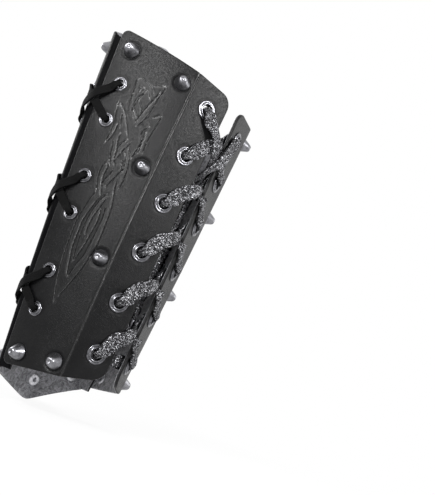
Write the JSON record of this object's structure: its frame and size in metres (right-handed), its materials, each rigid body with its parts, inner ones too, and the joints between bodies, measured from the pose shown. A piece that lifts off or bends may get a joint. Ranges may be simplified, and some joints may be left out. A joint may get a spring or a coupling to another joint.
{
  "type": "leather bracer",
  "caption": "Laced leather bracer for the forearm: a pointed front panel and two side panels with cone studs, laced seams and a flat woven closing lace.",
  "frame": {"origin": "on the axis of the forearm at the bracer's wrist end, level with the middle of the hand-end arch", "axes": "+Z along the forearm toward the elbow, -Y out of the front panel's face, +Y out of the laced closure, +X to the right of the front panel seen with the elbow up"},
  "size_m": [0.1362, 0.0969, 0.276],
  "materials": {
    "black_leather": "dyed black, smooth satin grain with a grey suede flesh side",
    "stud_nickel": "polished dark nickel",
    "eyelet_nickel": "dark nickel plated steel",
    "seam_cord": "flat black waxed cord",
    "woven_lace": "flat grey and black weave with metallic thread"
  },
  "bodies": {
    "front": {"front_panel": "black_leather", "front_studs": "stud_nickel", "front_rivet_backs": "eyelet_nickel", "front_seam_eyelets": "eyelet_nickel", "front_seam_washers": "eyelet_nickel", "right_seam_cord_wrist": "seam_cord", "right_seam_cord_middle": "seam_cord", "right_seam_cord_elbow": "seam_cord", "left_seam_cord_wrist": "seam_cord", "left_seam_cord_middle": "seam_cord", "left_seam_cord_elbow": "seam_cord", "closure_lace": "woven_lace", "lace_aglets": "stud_nickel"},
    "right_side": {"right_side_panel": "black_leather", "right_studs": "stud_nickel", "right_rivet_backs": "eyelet_nickel", "right_seam_eyelets": "eyelet_nickel", "right_seam_washers": "eyelet_nickel", "right_closure_eyelets": "eyelet_nickel", "right_closure_washers": "eyelet_nickel"},
    "left_side": {"left_side_panel": "black_leather", "left_studs": "stud_nickel", "left_rivet_backs": "eyelet_nickel", "left_seam_eyelets": "eyelet_nickel", "left_seam_washers": "eyelet_nickel", "left_closure_eyelets": "eyelet_nickel", "left_closure_washers": "eyelet_nickel"}
  },
  "joints": [
    {"name": "right_seam_bend", "type": "hinge", "parent": "front", "child": "right_side", "pos_m": [0.03724, -0.02758, -0.002], "axis": [-0.1241, -0.08, -0.989], "range_deg": [-2.5, 12], "deforming": ["right_seam_cord_wrist", "right_seam_cord_middle", "right_seam_cord_elbow", "closure_lace"]},
    {"name": "left_seam_bend", "type": "hinge", "parent": "front", "child": "left_side", "pos_m": [-0.03724, -0.02758, -0.002], "axis": [-0.1241, 0.08, 0.989], "range_deg": [-2.5, 12], "deforming": ["left_seam_cord_wrist", "left_seam_cord_middle", "left_seam_cord_elbow", "closure_lace"]}
  ]
}
